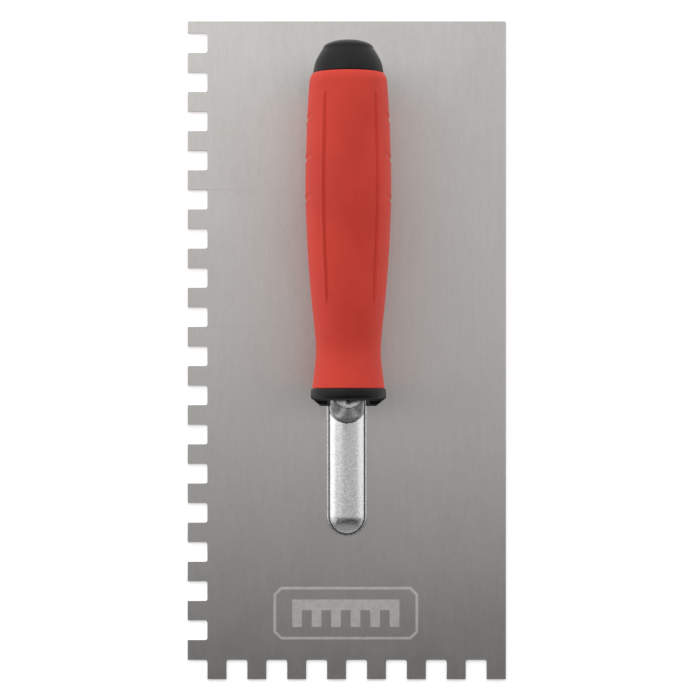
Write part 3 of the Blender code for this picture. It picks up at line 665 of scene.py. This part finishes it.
def sleeve_features(a, phi, base):
    """Height over the plain profile, for arrays of axial place and azimuth (0 at the top)."""
    q = np.degrees(np.abs((phi - ROLL + math.pi) % (2 * math.pi) - math.pi))
    along = smoothstep(0.0160, 0.0215, a) * (1.0 - smoothstep(0.0990, 0.1006, a))
    panel = -0.00022 * (1.0 - smoothstep(37.4, 39.8, q))
    foot = -0.00036 * np.exp(-((q - 38.2) / 0.95) ** 2)
    lip = 0.00046 * np.where(np.abs(q - 42.0) < 2.8, np.cos((q - 42.0) / 2.8 * math.pi / 2.0) ** 2, 0.0)
    wide = smoothstep(0.0150, 0.0300, a) * (1.0 - smoothstep(0.0840, 0.1020, a))
    height = wide * panel + along * (foot + lip)
    beta = 180.0 - np.degrees(np.abs((phi + math.pi) % (2 * math.pi) - math.pi))       # from the bottom
    reach = np.sqrt(np.clip(1.0 - (beta / 124.0) ** 2, 0.0, 1.0))
    for a0 in GROOVES:
        path = a0 + base * LEAN * np.cos(phi)
        d = (a - path) / 0.0014
        groove = np.where(np.abs(d) < 1.0, 1.0 - d * d, 0.0)
        edge = np.exp(-((np.abs(d) - 1.22) / 0.26) ** 2)
        height += reach * (-0.00046 * groove + 0.00024 * edge)
    return height


def make_sleeve(mat):
    table = catmull(STATIONS)
    order = np.argsort(table[:, 0])
    ta, tr = table[order, 0], table[order, 1]
    outer_a = np.concatenate([
        np.array([-0.01495, -0.01490, -0.01480, -0.01465]),
        np.arange(-0.0144, 0.0150, 0.0008), np.arange(0.0150, 0.0480, 0.0006),
        np.arange(0.0480, 0.0990, 0.00035), np.arange(0.0990, 0.1060, 0.0005),
        np.array([0.1061, 0.1065, 0.1069, 0.1073, 0.1076, 0.1079, 0.1081, 0.1082])])
    outer_r = np.interp(outer_a, ta, tr)
    outer_r[:3] -= np.array([0.00026, 0.00014, 0.00004])
    weight = np.ones(len(outer_a))
    inner_a = np.concatenate([np.array([0.1082]), np.arange(0.104, -0.0140, -0.004), np.array([-0.01495])])
    inner_r = np.interp(np.minimum(inner_a, 0.1030), ta, tr) - WALL
    degrees = [-180.0]
    while degrees[-1] < 180.0 - 1e-6:
        q = abs(degrees[-1] - math.degrees(ROLL))
        d = abs(degrees[-1])
        step = 0.35 if 35.5 < q < 46.0 else (1.0 if 30.0 < q < 50.0 else (1.5 if 50.0 < d < 80.0 else 2.5))
        degrees.append(degrees[-1] + step)
    phis = np.radians(np.array(degrees[:-1]))
    A = np.concatenate([outer_a, inner_a])
    R = np.concatenate([outer_r, inner_r])
    W = np.concatenate([weight, np.zeros(len(inner_a))])
    AA, PP = np.meshgrid(A, phis, indexing='ij')
    RR = np.repeat(R[:, None], len(phis), 1)
    RR = RR + W[:, None] * sleeve_features(AA, PP, RR)
    pts = np.zeros(AA.shape + (3,))
    pts[..., 0] = RR * np.sin(PP)
    pts[..., 1] = AA * math.cos(FALL) + RR * np.cos(PP) * math.sin(FALL)
    pts[..., 2] = AXIS_Z - AA * math.sin(FALL) + RR * np.cos(PP) * math.cos(FALL)
    mesh = grid_mesh("grip_rubber", pts, True, True)
    outward(mesh)
    obj = new_object("grip_rubber", mesh)
    cut(obj, [leaning_slot("relief", POST_TOP_R + 0.0008 + 0.0014, 0.030, AXIS_Z - 0.004)])
    obj.data.materials.clear()
    obj.data.materials.append(mat)
    shade(obj, 50.0)
    return obj


def leaning_slot(name, radius, low, high, steps=64):
    bm = bmesh.new()
    bmesh.ops.create_cone(bm, cap_ends=True, segments=steps, radius1=radius, radius2=radius, depth=high - low,
                          matrix=Matrix.Translation((0.0, 0.0, (low + high) / 2.0)))
    for v in bm.verts:
        if v.co.y < -1e-6:
            v.co.y -= 0.015
        v.co.y += post_y(v.co.z)
    mesh = bpy.data.meshes.new(name)
    bm.to_mesh(mesh)
    bm.free()
    return mesh


# ------------------------------------------------------------------ core with its collar
def make_core(mat):
    slot_r = POST_TOP_R + 0.0008
    profile = [(0.01258, 0.1082), (0.01258, 0.1030)]
    for a, r in reversed(STATIONS[:10]):
        profile.append((r - WALL - 0.00005, a))
    profile[-1] = (STATIONS[0][1] - WALL - 0.00005, -0.01500)
    profile += [(0.01400, -0.01500), (0.01438, -0.01502), (0.01455, -0.01515), (0.01464, -0.01545), (0.01471, -0.0161), (0.01476, -0.0170),
                (0.01476, -0.0178), (0.01470, -0.0183), (0.01458, -0.01868), (0.01440, -0.01892), (0.01418, -0.01908),
                (0.01390, -0.01925), (0.01110, -0.02158), (0.01090, -0.02172), (0.01064, -0.0218), (0.0048, -0.0218), (0.00465, -0.0216),
                (0.00465, -0.0165), (0.00415, 0.0882), (0.0028, 0.0882), (0.0028, 0.0950), (0.0066, 0.0950), (0.0066, 0.0985),
                (0.0103, 0.0985), (0.0103, 0.1007), (0.0106, 0.1010), (0.0106, 0.1020), (0.0103, 0.1023), (0.0103, 0.1082)]
    obj = new_object("core_and_collar", turned_mesh("core_and_collar", profile, 96, True, HANDLE))
    cuts = [leaning_slot("post_seat", slot_r, 0.030, POST_TOP_Z + 0.0003),
            box_mesh("nose_mouth", (-slot_r, -0.040, 0.052), (slot_r, -0.0194, 0.080))]
    for side in (1.0, -1.0):
        xs = sorted((side * (slot_r + 0.0012), side * 0.0126))
        cuts.append(box_mesh("pocket", (xs[0], -0.02105, AXIS_Z + 0.0030), (xs[1], -0.0196, AXIS_Z + 0.0200)))
    cut(obj, cuts)
    bevel = obj.modifiers.new("moulded_edges", 'BEVEL')
    bevel.width = 0.00016
    bevel.segments = 2
    bevel.limit_method = 'ANGLE'
    bevel.angle_limit = math.radians(50.0)
    bevel.use_clamp_overlap = True
    apply_all(obj)
    obj.data.materials.clear()
    obj.data.materials.append(mat)
    shade(obj, 32.0)
    return obj


# ------------------------------------------------------------------ end cap
def make_cap(mat):
    tip, crown_at, crown_r, seam, seam_r = 0.1214, 0.1180, 0.0099, 0.10828, 0.0138
    profile = []
    for i in range(15):
        u = math.pi / 2.0 * (1.0 - i / 14.0)
        profile.append((crown_r * math.cos(u) if i else 0.0, crown_at + (tip - crown_at) * math.sin(u)))
    for i in range(1, 13):
        t = i / 12.0
        profile.append((crown_r + (seam_r - crown_r) * t + 0.00085 * math.sin(math.pi * t), crown_at + (seam - crown_at) * t))
    profile[-1] = (seam_r - 0.00002, seam + 0.00022)
    profile += [(seam_r - 0.00009, seam + 0.00007), (seam_r - 0.00025, seam), (0.0100, seam), (0.0100, 0.1021), (0.01024, 0.1015), (0.0100, 0.1009),
                (0.0100, 0.0991), (0.0098, 0.0990), (0.0081, 0.0990), (0.0080, 0.0992), (0.0080, seam + 0.003), (0.0055, seam + 0.0065), (0.0, seam + 0.0075)]
    obj = new_object("butt_cap", turned_mesh("butt_cap", profile, 96, False, HANDLE))
    obj.data.materials.append(mat)
    shade(obj, 40.0)
    return obj


# ------------------------------------------------------------------ rivets
def make_rivet(i, y, mat):
    h = BLADE_THICKNESS
    profile = [(0.0, 0.0056), (0.0012, 0.0056), (0.0016, 0.0052), (0.0017, 0.0047), (0.0017, h + 0.00012), (0.0019, h + 0.00002),
               (NECK_R - 0.00004, h - 0.00002), (HEAD_R - 0.00006, 0.00008), (HEAD_R - 0.00012, 0.00002), (HEAD_R - 0.00030, 0.0),
               (0.0020, 0.00001), (0.0008, 0.00003), (0.0, 0.00003)]
    mesh = turned_mesh("rivet_%d_head" % i, profile, 48, False, Matrix.Translation((0.0, y, 0.0)))
    obj = new_object("flush_rivet_%d" % i, mesh)
    mesh.materials.append(mat)
    shade(obj, 35.0)
    return obj


# ------------------------------------------------------------------ build the pieces
steel = stainless()
casting = cast_aluminium()
rubber = red_rubber()
core_mat = black_plastic("black_collar_plastic", 0.007, 0.30, 0.40, 1.0)
cap_mat = black_plastic("black_cap_plastic", 0.008, 0.36, 0.46, 5.0)
rivet_mat = ground_rivet()

blade = make_blade(steel)
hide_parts("blade")
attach(blade, "root")

mounting = make_mounting(casting)
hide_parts("mounting")
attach(mounting, "root")

sleeve = make_sleeve(rubber)
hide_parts("grip_sleeve")
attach(sleeve, "root")

core = make_core(core_mat)
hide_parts("handle_core")
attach(core, "root")

cap = make_cap(cap_mat)
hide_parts("end_cap")
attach(cap, "root")

for i, y in enumerate(RIVETS):
    rivet = make_rivet(i + 1, y, rivet_mat)
    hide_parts("rivet_%d" % (i + 1))
    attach(rivet, "root")

zinc = plated("zinc_plate", rgb(0.56, 0.58, 0.60), rgb(0.70, 0.71, 0.72), 0.30)
spring = plated("spring_steel_dark", rgb(0.34, 0.35, 0.37), rgb(0.48, 0.49, 0.50), 0.38)
for name, mat in (("retaining_screw", zinc), ("flat_washer", zinc), ("lock_washer", spring)):
    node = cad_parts[name]
    if not node.data.materials:
        node.data.materials.append(mat)
    for slot in node.material_slots:
        slot.material = mat

# ------------------------------------------------------------------ light
LEVELS = dict(left_low=0.68, upper_left=0.96, top_back=0.04, right_low=0.52, right_high=0.40, sky_a=0.75, sky_b=0.0, sky_c=0.72,
              sky_left=0.22, sky_right=0.0, sky_front=0.26, glow=0.34)


def softbox(name, azimuth, elevation, distance, width, height, centre=(0.0, 0.0, 0.03)):
    """A square lamp seen from the object at that compass angle (0 = +X, 90 = +Y) and height."""
    level = LEVELS[name]
    az, el = math.radians(azimuth), math.radians(elevation)
    place = Vector(centre) + distance * Vector((math.cos(az) * math.cos(el), math.sin(az) * math.cos(el), math.sin(el)))
    data = bpy.data.lights.new(name, 'AREA')
    data.shape = 'RECTANGLE'
    data.size = width
    data.size_y = height
    data.energy = level * math.pi * width * height
    lamp = bpy.data.objects.new(name, data)
    bpy.context.scene.collection.objects.link(lamp)
    lamp.location = place
    lamp.rotation_mode = 'QUATERNION'
    lamp.rotation_quaternion = (Vector(centre) - place).to_track_quat('-Z', 'Y')
    lamp.visible_camera = False
    return lamp


softbox("left_low", 186.0, 14.0, 0.70, 0.75, 0.36)
softbox("upper_left", 142.0, 50.0, 0.62, 0.50, 0.30)
softbox("top_back", 90.0, 64.0, 0.62, 0.65, 0.30)
softbox("right_low", -9.0, 7.0, 0.70, 0.80, 0.16)
softbox("right_high", 15.0, 24.0, 0.70, 0.70, 0.27)

world = bpy.data.worlds.new("studio")
world.use_nodes = True
bpy.context.scene.world = world
tree = world.node_tree
coord = tree.nodes.new("ShaderNodeTexCoord")
parts = tree.nodes.new("ShaderNodeSeparateXYZ")
tree.links.new(coord.outputs["Generated"], parts.inputs[0])


def world_range(socket, low, high, out_low, out_high):
    n = tree.nodes.new("ShaderNodeMapRange")
    n.interpolation_type = 'SMOOTHSTEP'
    tree.links.new(socket, n.inputs["Value"])
    for key, value in (("From Min", low), ("From Max", high), ("To Min", out_low), ("To Max", out_high)):
        n.inputs[key].default_value = value
    return n.outputs["Result"]


def world_math(op, a, b):
    n = tree.nodes.new("ShaderNodeMath")
    n.operation = op
    for socket, value in zip(n.inputs, (a, b)):
        if isinstance(value, bpy.types.NodeSocket):
            tree.links.new(value, socket)
        else:
            socket.default_value = value
    return n.outputs[0]


# dim towards the front of the table, brighter towards the back; the wall seen directly stays pale
sky = 0.015
for key, low_y, high_y in (("sky_a", -0.122, -0.034), ("sky_b", -0.02, 0.16), ("sky_c", 0.22, 0.50)):
    sky = world_math('ADD', world_math('MULTIPLY', world_range(parts.outputs[1], low_y, high_y, 0.0, 1.0), LEVELS[key]), sky)
depth = world_range(parts.outputs[1], -0.17, 0.04, 0.0, 1.0)
for key, low_x, high_x in (("sky_left", -0.18, -0.60), ("sky_right", 0.52, 0.86)):
    side = world_math('MULTIPLY', world_range(parts.outputs[0], min(low_x, high_x), max(low_x, high_x), *((0.0, 1.0) if high_x > low_x else (1.0, 0.0))), depth)
    sky = world_math('ADD', world_math('MULTIPLY', side, LEVELS[key]), sky)
# low down at the front it is light again, so the sheet doesn't look black from behind
sky = world_math('ADD', world_math('MULTIPLY', world_range(parts.outputs[1], -0.80, -0.42, 1.0, 0.0), LEVELS["sky_front"]), sky)
shade_of = sky
path = tree.nodes.new("ShaderNodeLightPath")
wall = tree.nodes.new("ShaderNodeBackground")
wall.inputs["Color"].default_value = (0.93, 0.93, 0.93, 1.0)
wall.inputs["Strength"].default_value = 1.0
room = tree.nodes["Background"]
room.inputs["Color"].default_value = (1.0, 1.0, 1.0, 1.0)
tree.links.new(shade_of, room.inputs["Strength"])
both = tree.nodes.new("ShaderNodeMixShader")
tree.links.new(path.outputs["Is Camera Ray"], both.inputs[0])
tree.links.new(room.outputs[0], both.inputs[1])
tree.links.new(wall.outputs[0], both.inputs[2])
tree.links.new(both.outputs[0], tree.nodes["World Output"].inputs["Surface"])

# ------------------------------------------------------------------ floor
floor_mesh = bpy.data.meshes.new("studio_floor")
bm = bmesh.new()
bmesh.ops.create_grid(bm, x_segments=1, y_segments=1, size=4.0, matrix=Matrix.Translation((0.0, 0.0, -0.0002)))
bm.to_mesh(floor_mesh)
bm.free()
floor = new_object("studio_floor", floor_mesh)
pale = Nodes("pale_floor")
pale.set("Base Color", rgb(0.93, 0.93, 0.93))
pale.set("Roughness", 0.75)
pale.set("Specular IOR Level", 0.2)
pale.set("Emission Color", rgb(1.0, 1.0, 1.0))
pale.set("Emission Strength", LEVELS["glow"])
floor_mesh.materials.append(pale.mat)

# ------------------------------------------------------------------ camera
cam_data = bpy.data.cameras.new("camera")
cam_data.sensor_width = 36.0
cam_data.lens = 137.8
cam_data.shift_x = 0.0499
cam_data.shift_y = 0.0003
cam_data.clip_end = 20.0
camera = bpy.data.objects.new("camera", cam_data)
bpy.context.scene.collection.objects.link(camera)
camera.location = (-0.0130, 0.0, 1.1000)
camera.rotation_euler = (0.0, 0.0, 0.0)
bpy.context.scene.camera = camera
bpy.context.scene.view_settings.view_transform = 'Standard'

bpy.context.view_layer.update()
